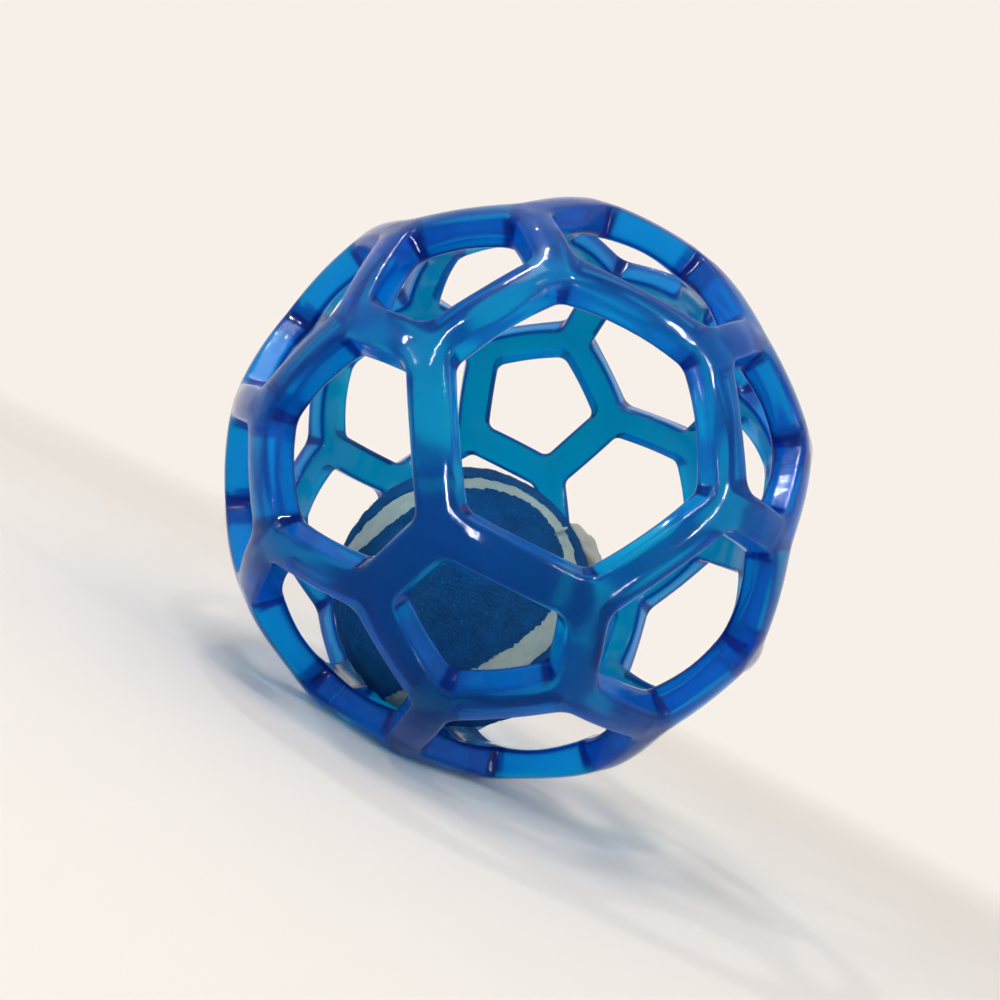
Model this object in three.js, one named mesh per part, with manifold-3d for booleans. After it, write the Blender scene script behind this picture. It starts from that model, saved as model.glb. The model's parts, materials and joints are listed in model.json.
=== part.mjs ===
// Caged dog ball: a soft moulded lattice ball with a loose felt tennis ball trapped inside it.
// The lattice has 60 junctions, 90 struts, 12 five-sided openings and 20 six-sided openings.
// One six-sided opening, the way in for the ball, lies flatter than the rest and is wider.
// Millimetres, +Z up. The cage stands on the flat rim of a five-sided opening, and the way in faces -Y.

import * as THREE from "three";
import { mergeVertices } from "three/addons/utils/BufferGeometryUtils.js";
import Module from "manifold-3d";

// Driving dimensions of the cage
const strutLength = 29;
const strutWidth = 9.2;
const wallThickness = 6.4;
const entryInset = 4.2;
const openingCornerRadius = 2.8;
const openingEdgeRounding = 1.2;
const ridgeRounding = 2;
const ridgeCrown = 0.5;

// Driving dimensions of the loose ball
const ballDiameter = 63.5;
const feltThickness = 3.2;
const coreWall = 3.4;
const seamWidth = 5.6;
const seamSink = 0.5;
const seamLobe = 0.24;
const ballTurn = new THREE.Euler(
  THREE.MathUtils.degToRad(-21),
  THREE.MathUtils.degToRad(-154),
  THREE.MathUtils.degToRad(31),
  "ZYX",
);

// Clearances
const fitGap = 0.3;
const rollClearance = 0.5;
const cutterOverrun = 5;
const weldTolerance = 1e-4;

// Facet counts
const arcSteps = 2;
const ballMeridians = 36;
const ballParallels = 18;
const coreMeridians = 24;
const coreArcSteps = 7;
const seamSteps = 84;

// Colours and finishes
const cageMaterial = new THREE.MeshStandardMaterial({ color: 0x0f5fb0, roughness: 0.22, metalness: 0 });
const feltMaterial = new THREE.MeshStandardMaterial({ color: 0x0b3f66, roughness: 0.95, metalness: 0 });
const seamMaterial = new THREE.MeshStandardMaterial({ color: 0xc9c8ac, roughness: 0.85, metalness: 0 });
const coreMaterial = new THREE.MeshStandardMaterial({ color: 0x2a2a2c, roughness: 0.8, metalness: 0 });

const wasm = await Module();
wasm.setup();

// The twelve five-fold axes of the lattice: one straight down, two rings of five, one straight up.
function fiveFoldAxes() {
  const height = 1 / Math.sqrt(5);
  const radius = 2 / Math.sqrt(5);
  const frontAzimuth = -Math.PI / 2;
  const axes = [new THREE.Vector3(0, 0, -1)];
  for (const [level, turn] of [[-height, 0], [height, Math.PI / 5]]) {
    for (let k = 0; k < 5; k += 1) {
      const azimuth = frontAzimuth + turn + (k * 2 * Math.PI) / 5;
      axes.push(new THREE.Vector3(radius * Math.cos(azimuth), radius * Math.sin(azimuth), level));
    }
  }
  axes.push(new THREE.Vector3(0, 0, 1));
  return axes;
}

// Every face of the lattice as a plane: its outward normal, its distance from the centre
// and the five-fold axes that it lies between.
function latticePlanes() {
  const axes = fiveFoldAxes();
  const neighbours = (a, b) => a !== b && axes[a].dot(axes[b]) > 0;
  const icosahedronEdge = 3 * strutLength;
  const cornerRadius = icosahedronEdge * Math.sin((2 * Math.PI) / 5);
  const pentagonDistance = cornerRadius * (2 / 3 + 1 / (3 * Math.sqrt(5)));
  const planes = axes.map((axis, a) => ({ normal: axis, distance: pentagonDistance, axes: [a] }));
  for (let a = 0; a < axes.length; a += 1) {
    for (let b = a + 1; b < axes.length; b += 1) {
      for (let c = b + 1; c < axes.length; c += 1) {
        if (neighbours(a, b) && neighbours(b, c) && neighbours(a, c)) {
          const normal = axes[a].clone().add(axes[b]).add(axes[c]).normalize();
          planes.push({ normal, distance: cornerRadius * normal.dot(axes[a]), axes: [a, b, c] });
        }
      }
    }
  }
  const hexagons = planes.filter((plane) => plane.axes.length === 3);
  const entry = hexagons.reduce((front, plane) => (plane.normal.y < front.normal.y ? plane : front));
  entry.distance -= entryInset;
  entry.isEntry = true;
  return planes;
}

// The point where three planes meet.
function meetingPoint(p, q, r) {
  const qr = q.normal.clone().cross(r.normal);
  const rp = r.normal.clone().cross(p.normal);
  const pq = p.normal.clone().cross(q.normal);
  const scale = 1 / p.normal.dot(qr);
  return qr.multiplyScalar(p.distance).addScaledVector(rp, q.distance).addScaledVector(pq, r.distance)
    .multiplyScalar(scale);
}

// Junctions of the lattice, and each face with its junctions in order, counter-clockwise from outside.
function latticeFaces() {
  const planes = latticePlanes();
  const hexagons = planes.filter((plane) => plane.axes.length === 3);
  const junctions = [];
  for (const pentagon of planes.filter((plane) => plane.axes.length === 1)) {
    const around = hexagons.filter((plane) => plane.axes.includes(pentagon.axes[0]));
    for (let i = 0; i < around.length; i += 1) {
      for (let j = i + 1; j < around.length; j += 1) {
        const shared = around[i].axes.filter((axis) => around[j].axes.includes(axis));
        if (shared.length === 2) {
          const point = meetingPoint(pentagon, around[i], around[j]);
          junctions.push({ point, planes: [pentagon, around[i], around[j]] });
        }
      }
    }
  }
  const faces = planes.map((plane) => {
    const corners = junctions.filter((junction) => junction.planes.includes(plane));
    const across = corners[0].point.clone().addScaledVector(plane.normal, -plane.distance).normalize();
    const along = plane.normal.clone().cross(across);
    const angle = (junction) => Math.atan2(junction.point.dot(along), junction.point.dot(across));
    corners.sort((a, b) => angle(a) - angle(b));
    return { plane, corners };
  });
  return faces;
}

// A rounded outline in a face's plane, at a distance inside its edges. It is given edge by edge:
// each entry runs from the middle of one rounded corner to the middle of the next.
function roundedOutline(face, inset, radius) {
  const count = face.corners.length;
  const arcs = face.corners.map((corner, k) => {
    const before = face.corners[(k + count - 1) % count].point.clone().sub(corner.point).normalize();
    const after = face.corners[(k + 1) % count].point.clone().sub(corner.point).normalize();
    const half = before.angleTo(after) / 2;
    const inward = before.clone().add(after).normalize();
    const centre = corner.point.clone().addScaledVector(inward, (inset + radius) / Math.sin(half));
    const sweep = Math.PI / 2 - half;
    const towards = (edge, share) => {
      const sideways = edge.clone().addScaledVector(inward, -edge.dot(inward)).normalize();
      const angle = sweep * share;
      return centre.clone().addScaledVector(inward, -radius * Math.cos(angle))
        .addScaledVector(sideways, radius * Math.sin(angle));
    };
    return { before: (share) => towards(before, share), after: (share) => towards(after, share) };
  });
  return arcs.map((arc, k) => {
    const next = arcs[(k + 1) % count];
    const points = [];
    for (let step = 0; step <= arcSteps; step += 1) {
      points.push(arc.after(step / arcSteps));
    }
    for (let step = arcSteps; step >= 0; step -= 1) {
      points.push(next.before(step / arcSteps));
    }
    return points;
  });
}

// The same points, moved towards the lattice's centre.
function sunk(edges, depth) {
  return edges.map((points) => points.map((point) => point.clone().setLength(point.length() - depth)));
}

function mean(points) {
  const sum = new THREE.Vector3();
  for (const point of points) {
    sum.add(point);
  }
  return sum.divideScalar(points.length);
}

// The lines along the middle of each strut, outside and inside, which the faces on both sides share.
// Outside, the line lies below the sharp edge of the two faces by the crown's share of the way to their rims.
function strutLines(faces) {
  const rowsAt = new Map();
  const meeting = (key, value) => {
    if (!rowsAt.has(key)) {
      rowsAt.set(key, []);
    }
    rowsAt.get(key).push(value);
  };
  for (const face of faces) {
    face.corners.forEach((corner, k) => {
      meeting(corner, { rim: face.rim[k][0], inner: face.inner[k][0] });
    });
  }
  const crowned = (sharp, rims) => sharp.clone().lerp(rims, ridgeCrown);
  const junctionLines = new Map();
  for (const [corner, rows] of rowsAt) {
    const outside = crowned(corner.point, mean(rows.map((row) => row.rim)));
    junctionLines.set(corner, { outside, inside: mean(rows.map((row) => row.inner)) });
  }
  const find = (from, to) => {
    for (const face of faces) {
      const k = face.corners.indexOf(from);
      if (k >= 0 && face.corners[(k + 1) % face.corners.length] === to) {
        return { face, k };
      }
    }
    throw new Error("a strut has only one side");
  };
  for (const face of faces) {
    face.outside = [];
    face.inside = [];
  }
  for (const face of faces) {
    face.corners.forEach((corner, k) => {
      if (face.outside[k]) {
        return;
      }
      const next = face.corners[(k + 1) % face.corners.length];
      const other = find(next, corner);
      const edge = new THREE.Line3(corner.point, next.point);
      const last = face.rim[k].length - 1;
      const outside = [];
      const inside = [];
      for (let i = 0; i <= last; i += 1) {
        const middle = mean([face.rim[k][i], other.face.rim[other.k][last - i]]);
        const foot = edge.closestPointToPoint(middle, true, new THREE.Vector3());
        outside.push(crowned(foot, middle));
        inside.push(mean([face.inner[k][i], other.face.inner[other.k][last - i]]));
      }
      outside[0] = junctionLines.get(corner).outside;
      inside[0] = junctionLines.get(corner).inside;
      outside[last] = junctionLines.get(next).outside;
      inside[last] = junctionLines.get(next).inside;
      face.outside[k] = outside;
      face.inside[k] = inside;
      other.face.outside[other.k] = outside.toReversed();
      other.face.inside[other.k] = inside.toReversed();
    });
  }
}

// Triangles of a strip between two rows of points, as a flat list of coordinates.
function strip(first, second) {
  const coordinates = [];
  const triangle = (a, b, c) => coordinates.push(...a.toArray(), ...b.toArray(), ...c.toArray());
  for (let i = 0; i + 1 < first.length; i += 1) {
    triangle(first[i], first[i + 1], second[i + 1]);
    triangle(first[i], second[i + 1], second[i]);
  }
  return coordinates;
}

function weldedGeometry(coordinates) {
  const geometry = new THREE.BufferGeometry();
  geometry.setAttribute("position", new THREE.Float32BufferAttribute(coordinates, 3));
  return mergeVertices(geometry, weldTolerance);
}

// The moulded lattice, face by face: each strut is crowned outside, with a flat rim along every opening,
// rounded opening edges, and side walls that run towards the centre.
function cageFaces() {
  const faces = latticeFaces();
  const halfWidth = strutWidth / 2;
  for (const face of faces) {
    const outline = (inset) => roundedOutline(face, inset, openingCornerRadius + halfWidth - inset);
    face.rim = outline(ridgeRounding);
    face.lip = outline(halfWidth - openingEdgeRounding);
    const opening = outline(halfWidth);
    face.wall = sunk(opening, openingEdgeRounding);
    face.inner = sunk(opening, wallThickness);
  }
  strutLines(faces);
  return faces;
}

function cageGeometry(faces) {
  const coordinates = [];
  for (const face of faces) {
    const rows = [face.outside, face.rim, face.lip, face.wall, face.inner, face.inside];
    face.corners.forEach((corner, k) => {
      for (let row = 0; row + 1 < rows.length; row += 1) {
        coordinates.push(...strip(rows[row][k], rows[row + 1][k]));
      }
    });
  }
  return weldedGeometry(coordinates);
}

// The radius of the largest sphere about the centre that clears every strut, those at the way in aside.
function clearRadius(faces) {
  const centre = new THREE.Vector3();
  const atEntry = (corner) => corner.planes.some((plane) => plane.isEntry);
  let radius = Infinity;
  for (const face of faces) {
    face.corners.forEach((corner, k) => {
      const next = face.corners[(k + 1) % face.corners.length];
      if (atEntry(corner) || atEntry(next)) {
        return;
      }
      const line = face.inside[k];
      for (let i = 0; i + 1 < line.length; i += 1) {
        const segment = new THREE.Line3(line[i], line[i + 1]);
        const nearest = segment.closestPointToPoint(centre, true, new THREE.Vector3());
        radius = Math.min(radius, nearest.length());
      }
    });
  }
  return radius;
}

function toSolid(geometry) {
  const bare = geometry.clone();
  bare.deleteAttribute("normal");
  bare.deleteAttribute("uv");
  const welded = mergeVertices(bare, weldTolerance);
  return new wasm.Manifold(new wasm.Mesh({
    numProp: 3,
    vertProperties: new Float32Array(welded.attributes.position.array),
    triVerts: new Uint32Array(welded.index.array),
  }));
}

function toGeometry(solid) {
  const mesh = solid.getMesh();
  const geometry = new THREE.BufferGeometry();
  geometry.setAttribute("position", new THREE.Float32BufferAttribute(mesh.vertProperties, 3));
  geometry.setIndex(new THREE.Uint32BufferAttribute(mesh.triVerts, 1));
  return geometry;
}

// The seam of a tennis ball: a closed curve on the unit sphere with two lobes on each side.
class SeamCurve extends THREE.Curve {
  getPoint(share, target = new THREE.Vector3()) {
    const angle = 2 * Math.PI * share;
    const main = 1 - seamLobe;
    target.set(
      main * Math.cos(angle) + seamLobe * Math.cos(3 * angle),
      main * Math.sin(angle) - seamLobe * Math.sin(3 * angle),
      2 * Math.sqrt(main * seamLobe) * Math.sin(2 * angle),
    );
    return target.normalize();
  }
}

// A band along the seam, between two radii, that narrows towards the ball's centre.
function seamBand(innerRadius, outerRadius, width) {
  const curve = new SeamCurve();
  const halfAngle = width / ballDiameter;
  const corners = [];
  for (let step = 0; step < seamSteps; step += 1) {
    const middle = curve.getPoint(step / seamSteps);
    const sideways = middle.clone().cross(curve.getTangent(step / seamSteps)).normalize();
    const edgeAt = (angle) => middle.clone().multiplyScalar(Math.cos(angle))
      .addScaledVector(sideways, Math.sin(angle));
    const left = edgeAt(halfAngle);
    const right = edgeAt(-halfAngle);
    corners.push([
      left.clone().multiplyScalar(innerRadius),
      left.clone().multiplyScalar(outerRadius),
      right.clone().multiplyScalar(outerRadius),
      right.clone().multiplyScalar(innerRadius),
    ]);
  }
  const coordinates = [];
  for (let side = 0; side < 4; side += 1) {
    const first = corners.map((section) => section[side]);
    const second = corners.map((section) => section[(side + 1) % 4]);
    coordinates.push(...strip([...second, second[0]], [...first, first[0]]));
  }
  return weldedGeometry(coordinates);
}

// The two felt panels, cut from a felt shell by the seam's groove.
function feltPanels(innerRadius, outerRadius) {
  const outside = toSolid(new THREE.SphereGeometry(outerRadius, ballMeridians, ballParallels));
  const inside = toSolid(new THREE.SphereGeometry(innerRadius, ballMeridians, ballParallels));
  const groove = toSolid(seamBand(innerRadius - cutterOverrun, outerRadius + cutterOverrun, seamWidth));
  const panels = outside.subtract(inside).subtract(groove).decompose();
  const height = (panel) => panel.boundingBox().max[2] + panel.boundingBox().min[2];
  panels.sort((a, b) => height(b) - height(a));
  return panels.map(toGeometry);
}

// One half of the hollow rubber core, with its cut face on the ball's middle plane.
function coreHalf(outerRadius) {
  const innerRadius = outerRadius - coreWall;
  const cut = fitGap / 2;
  const profile = [];
  for (const [radius, outwards] of [[outerRadius, true], [innerRadius, false]]) {
    const start = Math.asin(cut / radius);
    for (let step = 0; step <= coreArcSteps; step += 1) {
      const share = outwards ? step / coreArcSteps : 1 - step / coreArcSteps;
      const angle = Math.PI / 2 + (start - Math.PI / 2) * share;
      const onAxis = share === 0;
      profile.push(new THREE.Vector2(onAxis ? 0 : radius * Math.cos(angle), radius * Math.sin(angle)));
    }
  }
  return new THREE.LatheGeometry(profile.toReversed(), coreMeridians).rotateX(Math.PI / 2);
}

function named(name, geometry, material) {
  const mesh = new THREE.Mesh(geometry, material);
  mesh.name = name;
  return mesh;
}

// The loose ball about its own centre.
function looseBall() {
  const ballRadius = ballDiameter / 2;
  const feltInside = ballRadius - feltThickness;
  const coreRadius = feltInside - fitGap;
  const ball = new THREE.Group();
  const [firstPanel, secondPanel] = feltPanels(feltInside, ballRadius);
  const seam = seamBand(feltInside, ballRadius - seamSink, seamWidth - 2 * fitGap);
  ball.add(named("felt_panel_a", firstPanel, feltMaterial));
  ball.add(named("felt_panel_b", secondPanel, feltMaterial));
  ball.add(named("seam_band", seam, seamMaterial));
  ball.add(named("core_half_a", coreHalf(coreRadius), coreMaterial));
  const otherHalf = named("core_half_b", coreHalf(coreRadius), coreMaterial);
  otherHalf.rotation.x = Math.PI;
  ball.add(otherHalf);
  return ball;
}

const dogBall = new THREE.Group();
const body = new THREE.Group();
const faces = cageFaces();
const cage = named("lattice_cage", cageGeometry(faces), cageMaterial);
body.add(cage);

// The ball lies at the bottom of the cage and clears it all the way round.
const ball = looseBall();
ball.position.z = ballDiameter / 2 + rollClearance - clearRadius(faces);
ball.rotation.copy(ballTurn);
body.add(ball);

// The origin lies on the ground under the middle of the cage.
cage.geometry.computeBoundingBox();
const { min, max } = cage.geometry.boundingBox;
body.position.set(-(min.x + max.x) / 2, -(min.y + max.y) / 2, -min.z);
dogBall.add(body);

export default dogBall;
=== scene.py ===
"""Looks of the caged dog ball: a see-through lattice ball with a loose felt ball inside it.

Lengths are in metres in the part's own frame: +Z up, the wide opening towards -Y, the ground at zero.
"""

import json
import math
from itertools import combinations, permutations
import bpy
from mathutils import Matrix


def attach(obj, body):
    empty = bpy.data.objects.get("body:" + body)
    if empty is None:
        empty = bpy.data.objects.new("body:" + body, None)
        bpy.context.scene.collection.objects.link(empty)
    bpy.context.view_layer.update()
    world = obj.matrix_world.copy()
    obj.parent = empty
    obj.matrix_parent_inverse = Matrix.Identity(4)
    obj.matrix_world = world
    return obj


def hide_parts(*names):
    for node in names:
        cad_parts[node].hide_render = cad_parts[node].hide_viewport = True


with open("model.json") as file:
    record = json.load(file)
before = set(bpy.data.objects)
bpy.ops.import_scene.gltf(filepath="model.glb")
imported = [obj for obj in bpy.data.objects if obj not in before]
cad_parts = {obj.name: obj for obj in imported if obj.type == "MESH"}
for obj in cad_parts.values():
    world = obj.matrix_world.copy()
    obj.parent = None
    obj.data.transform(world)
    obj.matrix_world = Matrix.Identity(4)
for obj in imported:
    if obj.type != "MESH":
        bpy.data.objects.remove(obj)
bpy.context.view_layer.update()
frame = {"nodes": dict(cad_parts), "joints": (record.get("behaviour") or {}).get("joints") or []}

from types import SimpleNamespace

import bmesh
import bpy
import numpy as np
from bpy.props import FloatProperty, FloatVectorProperty, IntProperty, PointerProperty
from mathutils import Euler, Matrix, Vector

bl_info = {
    "name": "Caged Dog Ball",
    "version": (1, 0, 0),
    "blender": (4, 5, 0),
    "location": "View3D > Sidebar > Dog Ball",
    "description": "Builds a see-through lattice ball with a loose felt ball inside it",
    "category": "Add Mesh",
}

CAGE_MIDDLE = Vector(frame["joints"][0]["pos_m"])
WELD_DISTANCE = 1e-6
AXES = 12
JUNCTIONS = 60
ALMOST_ONE = 0.99
# Numbers of the colour sockets of a Mix node, whose names it shares with its other sockets.
MIX_FACTOR = 0
MIX_FIRST = 6
MIX_SECOND = 7
MIX_RESULT = 2
FELT_SEED = 20
FIBRE_SEED = 7
SEAM_SEED = 3
FLAP_SEED = 11
TUFT_SEED = 5
# Height and wavelength of each layer of unevenness in metres. A lump's heights are shares of its size.
FELT_LAYERS = ((0.00016, 0.006), (0.00009, 0.0012))
SEAM_LAYERS = ((0.00012, 0.004), (0.00005, 0.001))
LUMP_LAYERS = ((1, 0.005), (0.4, 0.002))
FIBRE_CLEARANCE = 0.0013
# Lamps are placed from the cage's middle along the camera's right, up and backward directions.
KEY_PLACE = (0.1, 0.8, 0.3)
KEY_SIZE = (0.2, 0.2)
SPOT_PLACES = (
    (-0.35, 0.55, 0.45), (0.25, 0.6, 0.5), (0.65, 0.1, 0.5), (0.0, 0.75, -0.1), (-0.6, 0.2, 0.3),
)
SPOT_SIZE = (0.02, 0.02)
GLINT_PLACES = (
    (-0.45, 0.5, 0.45), (0.5, 0.45, 0.45), (0.0, 0.75, 0.15), (0.65, 0.0, 0.5), (0.2, -0.45, 0.65),
    (-0.6, -0.1, 0.5), (0.1, 0.15, 0.8), (-0.35, -0.5, 0.55), (0.5, -0.35, 0.55), (-0.1, 0.55, 0.6),
)
GLINT_SIZE = (0.02, 0.2)


class CageSettings(bpy.types.PropertyGroup):
    """Sizes and colours of the lattice cage."""
    strut_length: FloatProperty(
        name="Strut length", description="Between two sharp junctions",
        default=0.029, unit="LENGTH")
    strut_width: FloatProperty(
        name="Strut width", description="Across a strut between two openings",
        default=0.0092, unit="LENGTH")
    inner_radius: FloatProperty(
        name="Inner radius", description="From the cage's middle to the inside of its struts",
        default=0.0626, unit="LENGTH")
    arch: FloatProperty(
        name="Arch", description="How far a strut bows out between its junctions",
        default=0.0011, unit="LENGTH")
    entry_inset: FloatProperty(
        name="Entry inset", description="How far the way in lies below the other openings",
        default=0.0042, unit="LENGTH")
    corner_radius: FloatProperty(
        name="Corner radius", description="Of an opening's corners",
        default=0.0038, unit="LENGTH")
    wall_lean: FloatProperty(
        name="Wall lean", description="How far an opening narrows from its lip to its inner edge",
        default=0.0009, unit="LENGTH")
    lip_rounding: FloatProperty(
        name="Lip rounding", description="Radius of an opening's outer edge",
        default=0.0012, unit="LENGTH")
    inner_rounding: FloatProperty(
        name="Inner rounding", description="Radius of an opening's inner edge",
        default=0.0015, unit="LENGTH")
    ridge_rounding: FloatProperty(
        name="Ridge rounding", description="How far the crown reaches from a strut's middle",
        default=0.0033, unit="LENGTH")
    clear_color: FloatVectorProperty(
        name="Clear colour", description="Tint of light that passes straight through",
        default=(0.02, 0.92, 0.98), subtype="COLOR", size=3, min=0, max=1)
    cloudy_color: FloatVectorProperty(
        name="Cloudy colour", description="Colour of the light that the rubber scatters back",
        default=(0.001, 0.068, 0.265), subtype="COLOR", size=3, min=0, max=1)
    # Painted light: this lighter blue is painted on the openings' walls for the light that reaches them.
    lit_wall_color: FloatVectorProperty(
        name="Lit wall colour", description="Colour of the light that the openings' walls scatter back",
        default=(0.002, 0.17, 0.66), subtype="COLOR", size=3, min=0, max=1)
    depth_color: FloatVectorProperty(
        name="Depth colour", description="Colour that thick rubber tends to",
        default=(0.0, 0.925, 0.985), subtype="COLOR", size=3, min=0, max=1)
    # Painted shade: this dark blue is painted on the cloudy rubber at the openings' inner edges and in
    # their corners.
    corner_shade_color: FloatVectorProperty(
        name="Corner shade colour", description="Colour of the light that the openings' corners scatter back",
        default=(0.001, 0.03, 0.24), subtype="COLOR", size=3, min=0, max=1)
    # Painted shade: this dark tint darkens the light through the clear rubber at the openings' inner edges
    # and in their corners.
    fillet_shade_color: FloatVectorProperty(
        name="Fillet shade colour", description="Tint of light that passes an opening's inner edge",
        default=(0.0, 0.03, 0.3), subtype="COLOR", size=3, min=0, max=1)
    gloss_tint: FloatVectorProperty(
        name="Gloss tint", description="Of reflections seen straight on",
        default=(0.6, 0.8, 1.0), subtype="COLOR", size=3, min=0, max=1)
    depth_density: FloatProperty(
        name="Depth density", description="How fast thick rubber darkens, per metre",
        default=1000, min=0)
    cloudiness: FloatProperty(
        name="Cloudiness", description="Share of light that the rubber scatters back",
        default=0.38, min=0, max=1)


class BallSettings(bpy.types.PropertyGroup):
    """Sizes and colours of the loose ball."""
    diameter: FloatProperty(
        name="Diameter", description="Over the felt",
        default=0.0635, unit="LENGTH")
    drop: FloatProperty(
        name="Drop", description="Of the ball's centre below the cage's middle",
        default=0.030175, unit="LENGTH")
    felt_thickness: FloatProperty(
        name="Felt thickness", description="Of a felt panel",
        default=0.0032, unit="LENGTH")
    seam_width: FloatProperty(
        name="Seam width", description="Between the felt panels",
        default=0.0058, unit="LENGTH")
    seam_sink: FloatProperty(
        name="Seam sink", description="Of the seam below the felt",
        default=0.0005, unit="LENGTH")
    seam_lobe: FloatProperty(
        name="Seam lobe", description="How far the seam swings from a plain ring",
        default=0.237, min=0, max=0.5)
    fray: FloatProperty(
        name="Fray", description="How far the felt's torn edge wanders",
        default=0.0008, unit="LENGTH")
    turn: FloatVectorProperty(
        name="Turn", description="How the ball lies",
        subtype="EULER", size=3, default=(math.radians(-20.4), math.radians(-148.1), math.radians(35.6)))
    tuft_way: FloatVectorProperty(
        name="Tuft way", description="From the ball's centre to its torn tuft",
        subtype="DIRECTION", size=3, default=(0.658, -0.05, 0.752))
    flap_way: FloatVectorProperty(
        name="Flap way", description="From the ball's centre to a torn flap across its seam",
        subtype="DIRECTION", size=3, default=(0.385, -0.501, 0.775))
    fibres: IntProperty(
        name="Fibres", description="Loose felt fibres on the ball",
        default=5200, min=0)
    felt_color: FloatVectorProperty(
        name="Felt colour", description="Of the felt's ground",
        default=(0.0008, 0.035, 0.118), subtype="COLOR", size=3, min=0, max=1)
    fleck_color: FloatVectorProperty(
        name="Fleck colour", description="Of pale fibres in the felt",
        default=(0.008, 0.13, 0.3), subtype="COLOR", size=3, min=0, max=1)
    seam_color: FloatVectorProperty(
        name="Seam colour", description="Of the seam",
        default=(0.44, 0.47, 0.4), subtype="COLOR", size=3, min=0, max=1)
    tuft_color: FloatVectorProperty(
        name="Tuft colour", description="Of the torn tuft",
        default=(0.57, 0.47, 0.35), subtype="COLOR", size=3, min=0, max=1)
    grime_color: FloatVectorProperty(
        name="Grime colour", description="Of the seam's dirt and creases",
        default=(0.28, 0.33, 0.29), subtype="COLOR", size=3, min=0, max=1)
    core_color: FloatVectorProperty(
        name="Core colour", description="Of the rubber core",
        default=(0.02, 0.02, 0.022), subtype="COLOR", size=3, min=0, max=1)


class StageSettings(bpy.types.PropertyGroup):
    """Floor, light and camera."""
    backdrop_color: FloatVectorProperty(
        name="Backdrop colour", description="Of the floor and the backdrop",
        default=(0.93, 0.87, 0.807), subtype="COLOR", size=3, min=0, max=1)
    floor_radius: FloatProperty(
        name="Floor radius", description="Where the floor has faded into the backdrop",
        default=0.7, unit="LENGTH")
    ambient: FloatProperty(
        name="Ambient", description="Strength of the even light from all round",
        default=0.62, min=0)
    key_power: FloatProperty(
        name="Key power", description="Of the large soft lamp",
        default=1.6, unit="POWER")
    spot_power: FloatProperty(
        name="Spot power", description="Of each small lamp",
        default=0.5, unit="POWER")
    glint_power: FloatProperty(
        name="Glint power", description="Of each strip lamp that shows in reflections alone",
        default=5, unit="POWER")
    azimuth: FloatProperty(
        name="Azimuth", description="Of the camera, from -Y towards +X",
        default=math.radians(-5.71), subtype="ANGLE")
    elevation: FloatProperty(
        name="Elevation", description="Of the camera above level",
        default=math.radians(-3.72), subtype="ANGLE")
    roll: FloatProperty(
        name="Roll", description="Of the camera about its line of sight",
        default=math.radians(-26.52), subtype="ANGLE")
    distance: FloatProperty(
        name="Distance", description="Of the camera from the cage's middle",
        default=0.28523, unit="LENGTH")
    lens: FloatProperty(
        name="Lens", description="Focal length in millimetres on a 36 mm sensor",
        default=41.57)


def unit(vectors):
    """Each vector divided by its length."""
    return vectors / np.linalg.norm(vectors, axis=-1, keepdims=True)


def dot(first, second):
    """Dot products along the last axis, which is kept."""
    return (first * second).sum(-1, keepdims=True)


def five_fold_axes():
    """Twelve unit axes: one straight down, a lower and an upper ring of five, one straight up."""
    azimuth = -math.pi / 2 + np.arange(5) * 2 * math.pi / 5
    level = 1 / math.sqrt(5)
    rings = []
    for height, turn in ((-level, 0), (level, math.pi / 5)):
        angle = azimuth + turn
        ring = [2 * level * np.cos(angle), 2 * level * np.sin(angle), np.full(5, height)]
        rings.append(np.stack(ring, 1))
    return np.concatenate([[[0, 0, -1]], *rings, [[0, 0, 1]]])


def lattice_sides(strut_length, entry_inset):
    """Every side of every face of the lattice, as rows of corner points.

    A face is a plane: a pentagon's lies across a five-fold axis, a hexagon's across the mean of three.
    Their distances are those of an icosahedron with edges three struts long, cut off at each corner, so all
    struts are equally long. The hexagon that looks towards -Y then lies nearer by the inset. A junction is
    the point where one pentagon plane and two hexagon planes meet.
    """
    axes = five_fold_axes()
    cosines = axes @ axes.T
    linked = (cosines > 0) & (cosines < ALMOST_ONE)
    outer = 3 * strut_length * math.sin(2 * math.pi / 5)
    trios = np.array([t for t in combinations(range(AXES), 3) if linked[np.ix_(t, t)].sum() == 6])
    middles = unit(axes[trios].sum(1))
    normals = np.concatenate([axes, middles])
    pentagons = np.full(AXES, outer * (2 / 3 + 1 / (3 * math.sqrt(5))))
    distances = np.concatenate([pentagons, outer * dot(middles, axes[trios[:, 0]])[:, 0]])
    distances[AXES + middles[:, 1].argmin()] -= entry_inset
    meets = np.array([
        [a, *(AXES + np.flatnonzero((trios == a).any(1) & (trios == b).any(1)))]
        for a, b in permutations(range(AXES), 2) if linked[a, b]
    ])
    points = np.linalg.solve(normals[meets], distances[meets][..., None])[..., 0]
    rings = []
    for face, normal in enumerate(normals):
        ids = np.flatnonzero((meets == face).any(1))
        across = unit(points[ids[0]] - normal * distances[face])
        angles = np.arctan2(points[ids] @ np.cross(normal, across), points[ids] @ across)
        rings.append(ids[angles.argsort()])
    before, start, end, after = (
        np.concatenate([np.roll(ring, shift) for ring in rings]) for shift in (1, 0, -1, -2))
    keys = start * JUNCTIONS + end
    order = keys.argsort()
    mate = order[np.searchsorted(keys[order], end * JUNCTIONS + start)]
    return SimpleNamespace(points=points, before=before, start=start, end=end, after=after, mate=mate)


def corner_arc(corner, far, near, inset, radius, steps):
    """The half of a rounded corner from its middle to the straight that leads to the near junction."""
    to_far = unit(far - corner)
    to_near = unit(near - corner)
    inward = unit(to_far + to_near)
    half = np.arccos(np.clip(dot(to_far, to_near), -1, 1)) / 2
    centre = corner + inward * (inset + radius) / np.sin(half)
    sideways = unit(to_near - dot(to_near, inward) * inward)
    angle = (math.pi / 2 - half)[:, None] * np.linspace(0, 1, steps + 1)[None, :, None]
    return centre[:, None] + radius * (np.sin(angle) * sideways[:, None] - np.cos(angle) * inward[:, None])


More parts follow.
